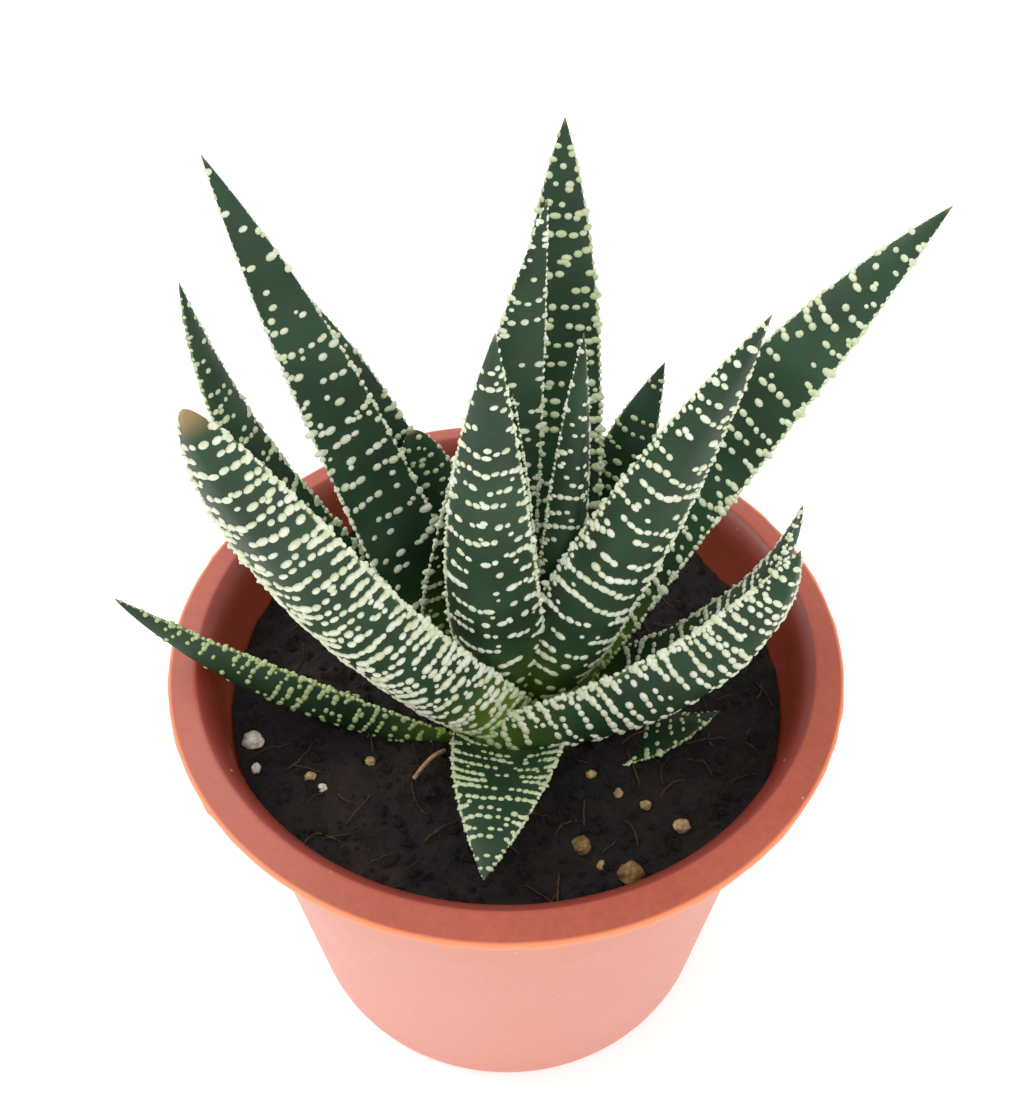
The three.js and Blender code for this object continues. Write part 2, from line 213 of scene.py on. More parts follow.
def makeLeafSkin():
    material, tree, shader, coords = newMaterial("leafSkin")
    patches = noiseFactor(tree, coords, 90.0)
    color = mixColor(tree, spread(tree, patches, 0.3, 0.7), rgb(leafLook["deep"]), rgb(leafLook["green"]))
    # grey: partly the leaf's waxy bloom in random patches, partly a painted sheen that grows towards the tip
    bloomSheenMask = attribute(tree, "dusty")
    color = mixColor(tree, bloomSheenMask, color, rgb(leafLook["grey"]))
    # painted light: a yellow-green glow of light shining through the leaf near its base
    color = mixColor(tree, attribute(tree, "base"), color, rgb(leafLook["yellowGreen"]))
    color = mixColor(tree, attribute(tree, "pale"), color, rgb(leafLook["pale"]))
    color = mixColor(tree, attribute(tree, "tip"), color, rgb(leafLook["dryTip"]))
    tree.links.new(color, shader.inputs["Base Color"])
    fine = grain(tree, coords, 1500.0, 5200.0)
    tree.links.new(spread(tree, fine, 0.3, 0.7, 0.42, 0.6), shader.inputs["Roughness"])
    setBump(tree, shader, fine, 0.35, 0.00012)
    shader.inputs["Specular IOR Level"].default_value = 0.4
    return material


def makeWartSkin():
    material, tree, shader, coords = newMaterial("wartSkin")
    tone = noiseFactor(tree, coords, 700.0, 2.0)
    color = mixColor(tree, spread(tree, tone, 0.35, 0.7), rgb("d3dbb4"), rgb("eff3e2"))
    color = mixColor(tree, attribute(tree, "wartGreen"), color, rgb("93ad4c"))
    tree.links.new(color, shader.inputs["Base Color"])
    shader.inputs["Roughness"].default_value = 0.6
    fine = grain(tree, coords, 2500.0, 7000.0)
    setBump(tree, shader, fine, 0.2, 0.00006)
    return material


def makePotPlastic():
    material, tree, shader, coords = newMaterial("potPlastic")
    mottled = grain(tree, coords, 60.0, 900.0)
    color = mixColor(tree, spread(tree, mottled, 0.35, 0.65), rgb("9f4330"), rgb("ab513b"))
    height = addNode(tree, "ShaderNodeSeparateXYZ", {0: coords}).outputs["Z"]
    # painted light: the wall under the rim is painted pale pink, as if lit by light bounced off the floor
    bounceLitWall = spread(tree, height, 0.0745, 0.0735)
    color = mixColor(tree, bounceLitWall, color, rgb("d88a76"))
    radius = addNode(tree, "ShaderNodeVectorMath", {0: coords}, operation="MULTIPLY")
    radius.inputs[1].default_value = (1, 1, 0)
    fromAxis = addNode(tree, "ShaderNodeVectorMath", {0: radius.outputs[0]}, operation="LENGTH")
    length = fromAxis.outputs["Value"]
    # painted highlight: a bright orange line along the rim's outer edge
    edge = addNode(tree, "ShaderNodeMath", {0: spread(tree, length, 0.0518, 0.0523),
                                            1: spread(tree, height, 0.070, 0.074)}, operation="MULTIPLY")
    color = mixColor(tree, edge.outputs[0], color, rgb("ff8f62"))
    # painted shade: the inside of the wall, under the rim, is painted darker than the outside
    lowWall = spread(tree, height, 0.055, 0.0725, 0.04445, 0.04575)
    flare = spread(tree, height, 0.073, 0.0775, 0.0, 0.00245)
    between = addNode(tree, "ShaderNodeMath", {0: lowWall, 1: flare}, operation="ADD").outputs[0]
    depth = addNode(tree, "ShaderNodeMath", {0: between, 1: length}, operation="SUBTRACT").outputs[0]
    shadedInside = addNode(tree, "ShaderNodeMath", {0: spread(tree, depth, 0.0, 0.0003),
                                              1: spread(tree, height, 0.0560, 0.0565)}, operation="MULTIPLY")
    color = mixColor(tree, shadedInside.outputs[0], color, rgb("7a2f29"))
    specks = addNode(tree, "ShaderNodeTexVoronoi", {"Vector": coords, "Scale": 420.0, "Randomness": 1.0})
    rare = noiseFactor(tree, coords, 180.0, 1.0)
    dust = addNode(tree, "ShaderNodeMath", {0: spread(tree, specks.outputs["Distance"], 0.10, 0.05),
                                            1: spread(tree, rare, 0.6, 0.68)}, operation="MULTIPLY")
    color = mixColor(tree, dust.outputs[0], color, rgb("f2d9cf"))
    tree.links.new(color, shader.inputs["Base Color"])
    tree.links.new(spread(tree, mottled, 0.3, 0.7, 0.38, 0.5), shader.inputs["Roughness"])
    setBump(tree, shader, grain(tree, coords, 700.0, 2600.0), 0.25, 0.0001)
    shader.inputs["Subsurface Weight"].default_value = 0.05
    return material


def makePeat():
    material, tree, shader, coords = newMaterial("peat")
    lumps = grain(tree, coords, 260.0, 1500.0)
    color = mixColor(tree, spread(tree, lumps, 0.38, 0.66), rgb("080506"), rgb("1f1613"))
    warm = spread(tree, noiseFactor(tree, coords, 110.0), 0.52, 0.72)
    color = mixColor(tree, warm, color, rgb("2b1d14"))
    tree.links.new(color, shader.inputs["Base Color"])
    shader.inputs["Roughness"].default_value = 0.92
    setBump(tree, shader, grain(tree, coords, 500.0, 2400.0), 0.9, 0.0008)
    return material


def makeTwoTone(name, first, second, scale, roughness):
    material, tree, shader, coords = newMaterial(name)
    tone = grain(tree, coords, scale, scale * 5)
    color = mixColor(tree, spread(tree, tone, 0.38, 0.64), rgb(first), rgb(second))
    tree.links.new(color, shader.inputs["Base Color"])
    shader.inputs["Roughness"].default_value = roughness
    setBump(tree, shader, tone, 0.5, 0.0003)
    return material


leafSkin = makeLeafSkin()
wartSkin = makeWartSkin()
potPlastic = makePotPlastic()
peat = makePeat()
fibreBrown = makeTwoTone("fibreBrown", "2c1d13", "5e4226", 900.0, 0.85)
perlite = makeTwoTone("perlite", "b9ab98", "f2ece0", 900.0, 0.8)
tanGrit = makeTwoTone("tanGrit", "8f7048", "d0b585", 800.0, 0.75)
brownGrit = makeTwoTone("brownGrit", "5d4526", "a0814c", 700.0, 0.75)
huskSkin = makeTwoTone("huskSkin", "8f6238", "d9b78a", 500.0, 0.7)
stemSkin = makeTwoTone("stemSkin", "6f7d35", "a9b068", 400.0, 0.6)


# ---- mesh helpers ----
def meshObject(name, vertices, faces, material=None, smooth=True):
    mesh = bpy.data.meshes.new(name)
    mesh.from_pydata([tuple(v) for v in vertices], [], faces)
    mesh.validate()
    if smooth:
        mesh.shade_smooth()
    if material:
        mesh.materials.append(material)
    made = bpy.data.objects.new(name, mesh)
    bpy.context.scene.collection.objects.link(made)
    return made


def setAttribute(mesh, name, values):
    layer = mesh.attributes.new(name, "FLOAT", "POINT")
    layer.data.foreach_set("value", np.asarray(values, np.float32))


def smoothStep(low, high, value):
    t = min(1.0, max(0.0, (value - low) / (high - low)))
    return t * t * (3 - 2 * t)


# ---- leaves ----
leafShape = {"rings": 110, "sides": 40, "baseWidth": 0.85, "channel": 0.35, "keel": 0.5, "edge": 0.9}

# From the heart outwards. root and tip end the midline, facing is the compass direction that the outer
# face looks to. bands: gap between wart bands (mm), filled: share of a band that carries warts,
# wart: radius (mm), dense: share of extra warts between bands towards the base, green: how green they are.
leaves = {
    "leaf_heart_youngest": dict(root=(3, -1, 73), tip=(1, -4, 128), facing=60, width=6, thick=3, taper=2.5,
                                bands=2.6, filled=0.5, wart=0.45),
    "leaf_heart_right": dict(root=(7, 0, 72), tip=(10, 2, 133), facing=-60, bow=-1, sway=-0.5,
                             width=8, thick=4, taper=3, bands=2.8, filled=0.5, wart=0.45),
    "leaf_heart_front": dict(root=(0, -4, 72), tip=(-1, -12, 143), facing=265, bow=-2, sway=-1.5,
                             width=14, thick=5.5, taper=2.6, bands=3.3, filled=0.68, wart=0.52),
    "leaf_left_tall": dict(root=(-6.5, -1.5, 68), tip=(-38, 16, 150), facing=122, sway=-1,
                           width=12, thick=5, taper=3.2, bands=3.2, filled=0.62, wart=0.55),
    "leaf_back_inner": dict(root=(-6, 1, 71), tip=(5, 0, 153), facing=100, bow=-2,
                            width=18, thick=5, taper=1.5, bands=3.2, filled=0.55, wart=0.52),
    "leaf_right_inner": dict(root=(5, -4, 70), tip=(32, -4, 140), facing=-95, bow=-2, sway=-1,
                             width=14, thick=5.5, taper=2.6, bands=3.3, filled=0.72, wart=0.55, edgeRows=2),
    "leaf_back_tall": dict(root=(7, 6, 68), tip=(8, 30, 148), facing=90, bow=-3,
                           width=15, thick=5.5, taper=3.6, bands=3.0, filled=0.6, wart=0.6, green=0.35),
    "leaf_front_left": dict(root=(0, -8, 67), tip=(-35, -22, 140), facing=270, bow=-3, sway=-3,
                            width=15.5, thick=6, taper=3.5, bluntness=0.6, bands=2.1, filled=0.8,
                            wart=0.58, dense=1.6, baseGlow=1.0, dryFrom=0.955),
    "leaf_right_tall": dict(root=(9, 2, 67), tip=(57, 14, 144), facing=50, bow=2, sway=2.5,
                            width=14, thick=5.5, taper=3.6, bands=3.0, filled=0.62, wart=0.55,
                            green=0.2, baseGlow=0.9),
    "leaf_left_inner": dict(root=(-5, 4, 68), tip=(-29, 20, 128), facing=125, sway=-1,
                            width=13, thick=5, taper=3, bands=2.6, filled=0.6, wart=0.5, green=0.2),
    "leaf_back_left_short": dict(root=(-6, 3, 68), tip=(-14, 14, 107), facing=115, bow=-1, sway=-1,
                                 width=12, thick=4, taper=4, bluntness=0.6, bands=2.6, filled=0.5,
                                 wart=0.5, green=0.3),
    "leaf_back_right_small": dict(root=(7, 5, 66), tip=(24, 24, 112), facing=60, bow=-2, sway=1,
                                  width=13, thick=4.5, taper=3, bands=2.8, filled=0.55, wart=0.5, green=0.4),
    "leaf_right_low": dict(root=(6, -3, 66), tip=(42, 0, 105), facing=5, bow=-6, sway=-3, belly=0.6,
                           roll=-20, width=13, thick=5, taper=2.8, bands=2.4, filled=0.7, wart=0.5),
    "leaf_left_back": dict(root=(-8, 2, 66), tip=(-42, 9, 136), facing=155, bow=-8, sway=2,
                           width=12, thick=5, taper=2.8, bands=2.6, filled=0.6, wart=0.5, green=0.2),
    "leaf_front_right": dict(root=(-4, -9, 67), tip=(40, -10, 106), facing=280, bow=-4, sway=7,
                             belly=0.62, width=15, thick=6.5, taper=3.5, bands=2.2, filled=0.85,
                             wart=0.55, dense=0.5, edgeRows=2),
    "leaf_left_low": dict(root=(-6, -9, 66), tip=(-57, -6, 92), facing=250, bow=-2, sway=-5,
                          width=12.5, thick=5.5, taper=2.8, bands=2.3, filled=0.65, wart=0.45, green=0.65),
    "leaf_right_sunken": dict(root=(7, -8, 63), tip=(33, -10.5, 71), facing=-30, bow=-1.5, sway=-2,
                              width=14, thick=4, taper=2.5, bands=2.4, filled=0.6, wart=0.45, green=0.5),
    "leaf_front_short": dict(root=(1, -9.5, 67.5), tip=(-3, -41, 73), facing=-90, bow=2,
                             width=17.5, thick=6, taper=2, bands=2.1, filled=0.75, wart=0.45, green=0.35),
}


def leafFrame(leaf, s):
    root = Vector(leaf["root"])
    tip = Vector(leaf["tip"])
    angle = math.radians(leaf["facing"])
    across = Vector((-math.sin(angle), math.cos(angle), 0))
    chord = tip - root
    along = chord.normalized()
    upper = along.cross(across).normalized()
    side = upper.cross(along)
    bend = root + chord * leaf.get("belly", 0.5)
    bend += upper * 2 * leaf.get("bow", 0) + side * 2 * leaf.get("sway", 0)
    centre = root * (1 - s) ** 2 + bend * 2 * s * (1 - s) + tip * s * s
    tangent = ((bend - root) * (1 - s) + (tip - bend) * s).normalized()
    face = tangent.cross(across).normalized()
    wide = face.cross(tangent)
    roll = math.radians(leaf.get("roll", 0))
    rolledWide = wide * math.cos(roll) + face * math.sin(roll)
    rolledFace = face * math.cos(roll) - wide * math.sin(roll)
    return centre, rolledWide, rolledFace


def leafPoint(leaf, frameAt, s, turn):
    centre, wide, face = frameAt
    shape = leafShape
    outline = shape["baseWidth"] + (1 - shape["baseWidth"]) * smoothStep(0, 0.18, s)
    outline *= max(0.0, 1 - s ** leaf["taper"]) ** leaf.get("bluntness", 1)
    half = leaf["width"] / 2 * outline
    depth = leaf["thick"] * outline ** 0.8
    groove = shape["channel"] * half * (1 - smoothStep(0.15, 0.85, s)) - 0.1 * half * smoothStep(0.5, 1, s)
    edge = min(shape["edge"], 0.35 * half + 0.02)
    keel = 2 - shape["keel"] * smoothStep(0.2, 0.8, s)
    x = math.cos(turn)
    rounding = edge / 2 * math.sin(turn)
    if math.sin(turn) < 0:
        height = rounding - (depth - edge) * (1 - abs(x) ** keel)
    else:
        height = rounding - groove * (1 - x * x)
    return centre + wide * (x * half) + face * height


def makeLeafBody(name, leaf, seed):
    rings, sides = leafShape["rings"], leafShape["sides"]
    vertices, base, pale, tip, dusty = [], [], [], [], []
    for ring in range(rings):
        s = 1 - (1 - ring / rings) ** 1.15
        frameAt = leafFrame(leaf, s)
        for side in range(sides):
            turn = 2 * math.pi * side / sides
            point = leafPoint(leaf, frameAt, s, turn)
            wobble = noise.noise(point * 0.16 + Vector((seed, 0, 0))) * 0.22 * min(1, 6 * (1 - s))
            point += frameAt[2] * wobble
            vertices.append(point * mm)
            margin = abs(math.cos(turn))
            # painted light shining through the leaf base: strongest at the base, gone by a quarter of the
            # length
            base.append(leaf.get("baseGlow", 0.35) * (1 - smoothStep(0.04, 0.26, s)))
            pale.append(0.55 * smoothStep(0.97, 1.0, margin) * smoothStep(0.2, 0.5, s))
            tip.append(smoothStep(leaf.get("dryFrom", 0.982), 1.0, s))
            # waxy bloom in random patches, plus a painted sheen that grows towards the tip
            dusty.append(0.45 * smoothStep(-0.3, 0.7, noise.noise(point * 0.1)) + 0.25 * s)
    faces = []
    for ring in range(rings - 1):
        for side in range(sides):
            after = (side + 1) % sides
            low = ring * sides
            faces.append((low + side, low + after, low + sides + after, low + sides + side))
    faces.append(tuple(reversed(range(sides))))
    peak = len(vertices)
    vertices.append(Vector(leaf["tip"]) * mm)
    for layer, value in ((base, 0), (pale, 0.2), (tip, 1), (dusty, 0)):
        layer.append(value)
    last = (rings - 1) * sides
    faces += [(last + side, last + (side + 1) % sides, peak) for side in range(sides)]
    body = meshObject(name + "_body", vertices, faces, leafSkin)
    for label, values in (("base", base), ("pale", pale), ("tip", tip), ("dusty", dusty)):
        setAttribute(body.data, label, values)
    return body


def wartSpots(leaf, seed):
    # where the warts sit: (share of the length, turn round the section, radius, stretch across)
    rand = random.Random(seed)
    length = (Vector(leaf["tip"]) - Vector(leaf["root"])).length
    spots = []
    along = 0.03 * length
    band = 0
    while along < 0.975 * length:
        s = along / length
        outline = max(0.05, 1 - s ** leaf["taper"]) ** leaf.get("bluntness", 1)
        half = leaf["width"] / 2 * outline
        gap = leaf["bands"] * (0.75 + 0.25 * outline)
        phase = rand.random() * 10
        for upperFace in (True, False):
            arc = half * (2.0 if upperFace else 2.5)
            step = leaf["wart"] * 1.75
            count = max(2, int(arc / step))
            for i in range(count):
                share = (i + 0.5) / count
                # runs of warts, broken by gaps
                run = noise.noise(Vector((share * arc * 0.55 + phase, band * 1.7, seed * 3.1)))
                keep = leaf["filled"] + 0.02 + 0.95 * run
                if rand.random() > keep:
                    continue
                turn = math.pi * share if upperFace else math.pi * (1 + share)
                sag = 0.8 * gap * ((2 * share - 1) ** 2 - 0.4) * (0.5 if upperFace else -0.7)
                wave = 0.45 * gap * noise.noise(Vector((share * arc * 0.22, band * 0.9, seed * 1.3 + 5)))
                at = (along + sag + wave + rand.uniform(-0.16, 0.16)) / length
                size = leaf["wart"] * rand.uniform(0.78, 1.22) * (0.66 + 0.34 * outline)
                spots.append((at, turn, size, rand.uniform(1.0, 1.75)))
        for _ in range(int(half * (0.35 + 0.6 * s))):  # strays between the bands, more towards the tip
            turn = rand.uniform(0, 2 * math.pi)
            at = (along + rand.uniform(0.2, 0.8) * gap) / length
            spots.append((at, turn, leaf["wart"] * rand.uniform(0.55, 0.95), rand.uniform(1.0, 1.3)))
        if leaf.get("dense") and s < 0.6:
            extra = int(leaf["dense"] * 9 * (0.65 - s))
            for i in range(extra):
                turn = rand.uniform(math.pi * 0.9, math.pi * 2.1)
                at = (along + rand.uniform(0, gap)) / length
                spots.append((at, turn, leaf["wart"] * rand.uniform(0.5, 0.85), 1.0))
        along += gap * rand.uniform(0.85, 1.15)
        band += 1
    # close rows of pale bumps along both margins
    along = 0.06 * length
    while along < 0.985 * length:
        s = along / length
        outline = max(0.05, 1 - s ** leaf["taper"])
        for margin in (0.0, math.pi):
            for row in range(leaf.get("edgeRows", 1)):
                lift = row * 0.35 * (-1 if margin == 0.0 else 1)
                size = leaf["wart"] * rand.uniform(0.65, 0.95) * (0.55 + 0.45 * outline)
                turn = margin + lift + rand.uniform(-0.12, 0.12)
                spots.append(((along + rand.uniform(-0.2, 0.2)) / length, turn, size, 1.0))
        along += leaf["wart"] * rand.uniform(1.7, 2.6)
    return [spot for spot in spots if 0.02 < spot[0] < 0.985]


def makeWartTree():
    # one low dome on each point of the mesh, turned to its normal and stretched across the leaf
    tree = bpy.data.node_groups.new("wartField", "GeometryNodeTree")
    interface = tree.interface
    interface.new_socket("Geometry", in_out="INPUT", socket_type="NodeSocketGeometry")
    size = interface.new_socket("Dome size", in_out="INPUT", socket_type="NodeSocketFloat")
    flat = interface.new_socket("Dome height", in_out="INPUT", socket_type="NodeSocketFloat")
    jitter = interface.new_socket("Size jitter", in_out="INPUT", socket_type="NodeSocketFloat")
    seed = interface.new_socket("Seed", in_out="INPUT", socket_type="NodeSocketInt")
    interface.new_socket("Geometry", in_out="OUTPUT", socket_type="NodeSocketGeometry")
    start = tree.nodes.new("NodeGroupInput")
    end = tree.nodes.new("NodeGroupOutput")
    dome = addNode(tree, "GeometryNodeMeshUVSphere", {"Radius": 1.0, "Segments": 8, "Rings": 4})
    named = {}
    for label, kind in (("wartSize", "FLOAT"), ("wartStretch", "FLOAT"),
                        ("wartNormal", "FLOAT_VECTOR"), ("wartAcross", "FLOAT_VECTOR")):
        node = addNode(tree, "GeometryNodeInputNamedAttribute", data_type=kind)
        node.inputs["Name"].default_value = label
        named[label] = node.outputs["Attribute"]
    turned = addNode(tree, "FunctionNodeAxesToRotation",
                     {"Primary Axis": named["wartNormal"], "Secondary Axis": named["wartAcross"]},
                     primary_axis="Z", secondary_axis="X")
    low = addNode(tree, "ShaderNodeMath", {0: 1.0, 1: start.outputs["Size jitter"]}, operation="SUBTRACT")
    high = addNode(tree, "ShaderNodeMath", {0: 1.0, 1: start.outputs["Size jitter"]}, operation="ADD")
    chance = addNode(tree, "FunctionNodeRandomValue",
                     {"Min": low.outputs[0], "Max": high.outputs[0], "Seed": start.outputs["Seed"]},
                     data_type="FLOAT")
    width = addNode(tree, "ShaderNodeMath", {0: named["wartSize"], 1: start.outputs["Dome size"]},
                    operation="MULTIPLY")
    varied = addNode(tree, "ShaderNodeMath", {0: width.outputs[0], 1: chance.outputs["Value"]},
                     operation="MULTIPLY")
    long = addNode(tree, "ShaderNodeMath", {0: varied.outputs[0], 1: named["wartStretch"]},
                   operation="MULTIPLY")
    tall = addNode(tree, "ShaderNodeMath", {0: varied.outputs[0], 1: start.outputs["Dome height"]},
                   operation="MULTIPLY")
    scale = addNode(tree, "ShaderNodeCombineXYZ",
                    {"X": long.outputs[0], "Y": varied.outputs[0], "Z": tall.outputs[0]})
    placed = addNode(tree, "GeometryNodeInstanceOnPoints",
                     {"Points": start.outputs["Geometry"], "Instance": dome.outputs["Mesh"],
                      "Rotation": turned.outputs[0], "Scale": scale.outputs[0]})
    real = addNode(tree, "GeometryNodeRealizeInstances", {"Geometry": placed.outputs[0]})
    smooth = addNode(tree, "GeometryNodeSetShadeSmooth", {"Geometry": real.outputs[0]})
    coloured = addNode(tree, "GeometryNodeSetMaterial", {"Geometry": smooth.outputs[0]})
    coloured.inputs["Material"].default_value = wartSkin
    tree.links.new(coloured.outputs[0], end.inputs["Geometry"])
    return tree, {"size": size.identifier, "flat": flat.identifier,
                  "jitter": jitter.identifier, "seed": seed.identifier}


wartTree, wartInput = makeWartTree()


def plainFromNodes(source, tree, inputs):
    modifier = source.modifiers.new("field", "NODES")
    modifier.node_group = tree
    for identifier, value in inputs.items():
        modifier[identifier] = value
    evaluated = source.evaluated_get(bpy.context.evaluated_depsgraph_get())
    mesh = bpy.data.meshes.new_from_object(evaluated)
    source.modifiers.remove(modifier)
    return mesh


def makeWarts(name, leaf, seed):
    spots = wartSpots(leaf, seed)
    points, normals, across, sizes, stretches = [], [], [], [], []
    for s, turn, size, stretch in spots:
        frameAt = leafFrame(leaf, s)
        here = leafPoint(leaf, frameAt, s, turn)
        sideways = leafPoint(leaf, frameAt, s, turn + 0.05) - leafPoint(leaf, frameAt, s, turn - 0.05)
        ahead = leafPoint(leaf, leafFrame(leaf, s + 0.004), s + 0.004, turn) - here
        if sideways.length < 1e-6 or ahead.length < 1e-6:
            continue
        normal = ahead.cross(sideways).normalized()
        if normal.dot(here - frameAt[0] + frameAt[2] * 0.25 * leaf["thick"]) < 0:
            normal.negate()
        wobble = noise.noise(here * 0.16 + Vector((seed, 0, 0))) * 0.22 * min(1, 6 * (1 - s))
        points.append((here + frameAt[2] * wobble) * mm)
        normals.append(normal)
        across.append(sideways.normalized())
        sizes.append(size * mm)
        stretches.append(stretch)
    cloud = bpy.data.meshes.new(name + "_spots")
    cloud.from_pydata([tuple(p) for p in points], [], [])
    for label, values in (("wartSize", sizes), ("wartStretch", stretches)):
        cloud.attributes.new(label, "FLOAT", "POINT").data.foreach_set("value", values)
    for label, values in (("wartNormal", normals), ("wartAcross", across)):
        flatValues = [c for v in values for c in v]
        cloud.attributes.new(label, "FLOAT_VECTOR", "POINT").data.foreach_set("vector", flatValues)
    source = bpy.data.objects.new(name + "_spots", cloud)
    bpy.context.scene.collection.objects.link(source)
    mesh = plainFromNodes(source, wartTree, {wartInput["size"]: 1.0, wartInput["flat"]: 0.6,
                                             wartInput["jitter"]: 0.1, wartInput["seed"]: seed})
    bpy.data.objects.remove(source)
    warts = bpy.data.objects.new(name + "_warts", mesh)
    bpy.context.scene.collection.objects.link(warts)
    green = leaf.get("green", 0.0)
    root, tip = Vector(leaf["root"]) * mm, Vector(leaf["tip"]) * mm
    chord = tip - root
    values = []
    for vertex in mesh.vertices:
        share = (vertex.co - root).dot(chord) / chord.length_squared
        values.append(min(1.0, green + 0.75 * (1 - smoothStep(0.0, 0.2, share))))
    setAttribute(mesh, "wartGreen", values)
    return warts


def joinAs(name, pieces):
    bpy.ops.object.select_all(action="DESELECT")
    for piece in pieces:
        piece.select_set(True)
    bpy.context.view_layer.objects.active = pieces[0]
    bpy.ops.object.join()
    pieces[0].name = name
    pieces[0].data.name = name
    return pieces[0]


def finishPiece(piece, node):
    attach(piece, "root")
    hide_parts(node)


for number, (name, leaf) in enumerate(leaves.items()):
    body = makeLeafBody(name, leaf, number + 1)
    warts = makeWarts(name, leaf, number + 1)
    whole = joinAs(name + "_skin", [body, warts])
    finishPiece(whole, name)
print("leaves ready", len(leaves))


# ---- potting mix ----
soilLook = {"height": 65.4, "mound": 1.0, "crown": (0.5, -4.0), "radius": 44.4, "rings": 110, "sides": 300,
            "lump": 0.8, "crumbs": 1500, "fibres": 90}


def soilTop(x, y):
    fromCrown = math.hypot(x - soilLook["crown"][0], y - soilLook["crown"][1])
    level = soilLook["height"] + soilLook["mound"] * math.exp(-((fromCrown / 15) ** 2))
    level += 0.5 * math.sin(0.21 * x + 1.3) * math.cos(0.19 * y - 0.4)
    return level + 0.3 * math.sin(0.43 * x - 0.31 * y + 2)


def soilSurface(x, y):
    at = Vector((x, y, 0))
    rough = noise.fractal(at * 0.30, 0.7, 2.1, 5) * soilLook["lump"]
    return soilTop(x, y) + rough + 0.35 * abs(noise.noise(at * 0.9))


def makeSoil():
    rings, sides = soilLook["rings"], soilLook["sides"]
    vertices = [Vector((0, 0, soilSurface(0, 0))) * mm]
    for ring in range(1, rings + 1):
        radius = soilLook["radius"] * ring / rings
        for side in range(sides):
            angle = 2 * math.pi * side / sides
            x, y = radius * math.cos(angle), radius * math.sin(angle)
            vertices.append(Vector((x, y, soilSurface(x, y))) * mm)
    wall = [(43.4, 56.0), (42.4, 53.0), (37.0, 3.5), (34.6, 1.5)]
    for radius, height in wall:
        for side in range(sides):
            angle = 2 * math.pi * side / sides
            vertices.append(Vector((radius * math.cos(angle), radius * math.sin(angle), height)) * mm)
    faces = [(0, 1 + side, 1 + (side + 1) % sides) for side in range(sides)]
    for ring in range(rings + len(wall) - 1):
        low = 1 + ring * sides
        for side in range(sides):
            after = (side + 1) % sides
            faces.append((low + side, low + sides + side, low + sides + after, low + after))
    last = 1 + (rings + len(wall) - 1) * sides
    faces.append(tuple(last + side for side in reversed(range(sides))))
    return meshObject("soil_body", vertices, faces, peat)


def makeCrumbs():
    # loose crumbs of peat: small broken lumps half sunk in the surface
    rand = random.Random(11)
    vertices, faces = [], []
    shape = [(1, 0, 0), (-1, 0, 0), (0, 1, 0), (0, -1, 0), (0, 0, 1), (0, 0, -1)]
    sides = [(0, 2, 4), (2, 1, 4), (1, 3, 4), (3, 0, 4), (2, 0, 5), (1, 2, 5), (3, 1, 5), (0, 3, 5)]
    for _ in range(soilLook["crumbs"]):
        radius = soilLook["radius"] * math.sqrt(rand.random()) * 0.97
        angle = rand.uniform(0, 2 * math.pi)
        x, y = radius * math.cos(angle), radius * math.sin(angle)
        size = 0.35 + 1.1 * rand.random() ** 3
        middle = Vector((x, y, soilSurface(x, y) + 0.25 * size))
        turn = rand.uniform(0, math.pi)
        start = len(vertices)
        for corner in shape:
            point = Vector([c * size * rand.uniform(0.6, 1.2) for c in corner])
            spun = Vector((point.x * math.cos(turn) - point.y * math.sin(turn),
                           point.x * math.sin(turn) + point.y * math.cos(turn), point.z * 0.8))
            vertices.append((middle + spun) * mm)
        faces += [tuple(start + i for i in side) for side in sides]
    return meshObject("soil_crumbs", vertices, faces, peat, smooth=False)


def makeFibres():
    rand = random.Random(23)
    vertices, faces = [], []
    for _ in range(soilLook["fibres"]):
        radius = soilLook["radius"] * math.sqrt(rand.random()) * 0.92
        angle = rand.uniform(0, 2 * math.pi)
        x, y = radius * math.cos(angle), radius * math.sin(angle)
        heading = rand.uniform(0, 2 * math.pi)
        length, thick = rand.uniform(2.0, 7.0), rand.uniform(0.07, 0.2)
        curl = rand.uniform(-0.5, 0.5)
        start = len(vertices)
        for step in range(7):
            z = soilSurface(x, y) + 0.25 + 0.4 * math.sin(math.pi * step / 6)
            for corner in range(4):
                turn = math.pi / 2 * corner
                out = Vector((-math.sin(heading), math.cos(heading), 0)) * math.cos(turn)
                out.z = math.sin(turn)
                vertices.append((Vector((x, y, z)) + out * thick) * mm)
            x += math.cos(heading) * length / 6
            y += math.sin(heading) * length / 6
            if math.hypot(x, y) > soilLook["radius"] - 1:
                heading += math.pi * 0.7
            heading += curl * 0.5
        for step in range(6):
            low = start + step * 4
            for corner in range(4):
                after = (corner + 1) % 4
                faces.append((low + corner, low + after, low + 4 + after, low + 4 + corner))
        faces.append((start + 3, start + 2, start + 1, start))
        end = start + 24
        faces.append((end, end + 1, end + 2, end + 3))
    return meshObject("soil_fibres", vertices, faces, fibreBrown)


finishPiece(joinAs("peat_mix", [makeSoil(), makeCrumbs(), makeFibres()]), "potting_mix")
print("soil ready")


# ---- grit and husk ----
gritTone = {"grit_white_large": perlite, "grit_white_small": perlite, "grit_left_dot": perlite,
            "grit_front_brown": brownGrit, "grit_rim_stone": brownGrit}


